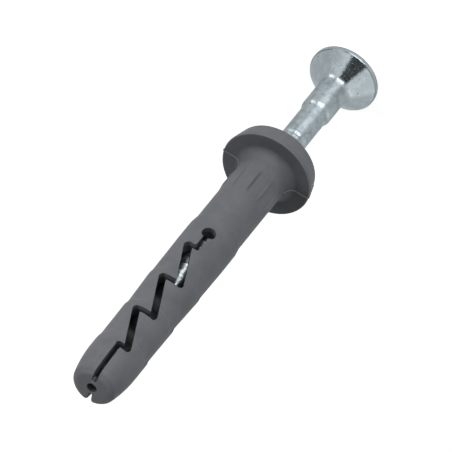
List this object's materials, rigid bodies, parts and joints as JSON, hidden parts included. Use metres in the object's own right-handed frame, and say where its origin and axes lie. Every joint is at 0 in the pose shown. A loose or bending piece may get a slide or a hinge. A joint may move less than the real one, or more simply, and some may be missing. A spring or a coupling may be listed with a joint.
{
  "type": "hammer fixing plug",
  "caption": "Hammer-in fixing plug: grey plastic sleeve with a round collar, low barbs and a zigzag expansion slit, and a zinc-plated nail screw part driven into it.",
  "frame": {"origin": "centre of the nail head's flat top, on which the plug stands", "axes": "+Z along the plug from the nail head to the sleeve's nose; -Y out of the front face of the slit"},
  "size_m": [0.011, 0.0108, 0.0584],
  "materials": {
    "grey_nylon": "matte moulded, fine grain",
    "zinc_steel": "bright zinc plating"
  },
  "bodies": {
    "sleeve": {"sleeve": "grey_nylon"},
    "nail": {"nail_screw": "zinc_steel"}
  },
  "joints": [
    {"name": "nail_drive", "type": "slide", "parent": "sleeve", "child": "nail", "axis": [0, 0, 1], "range_m": [0, 0.0164]}
  ]
}
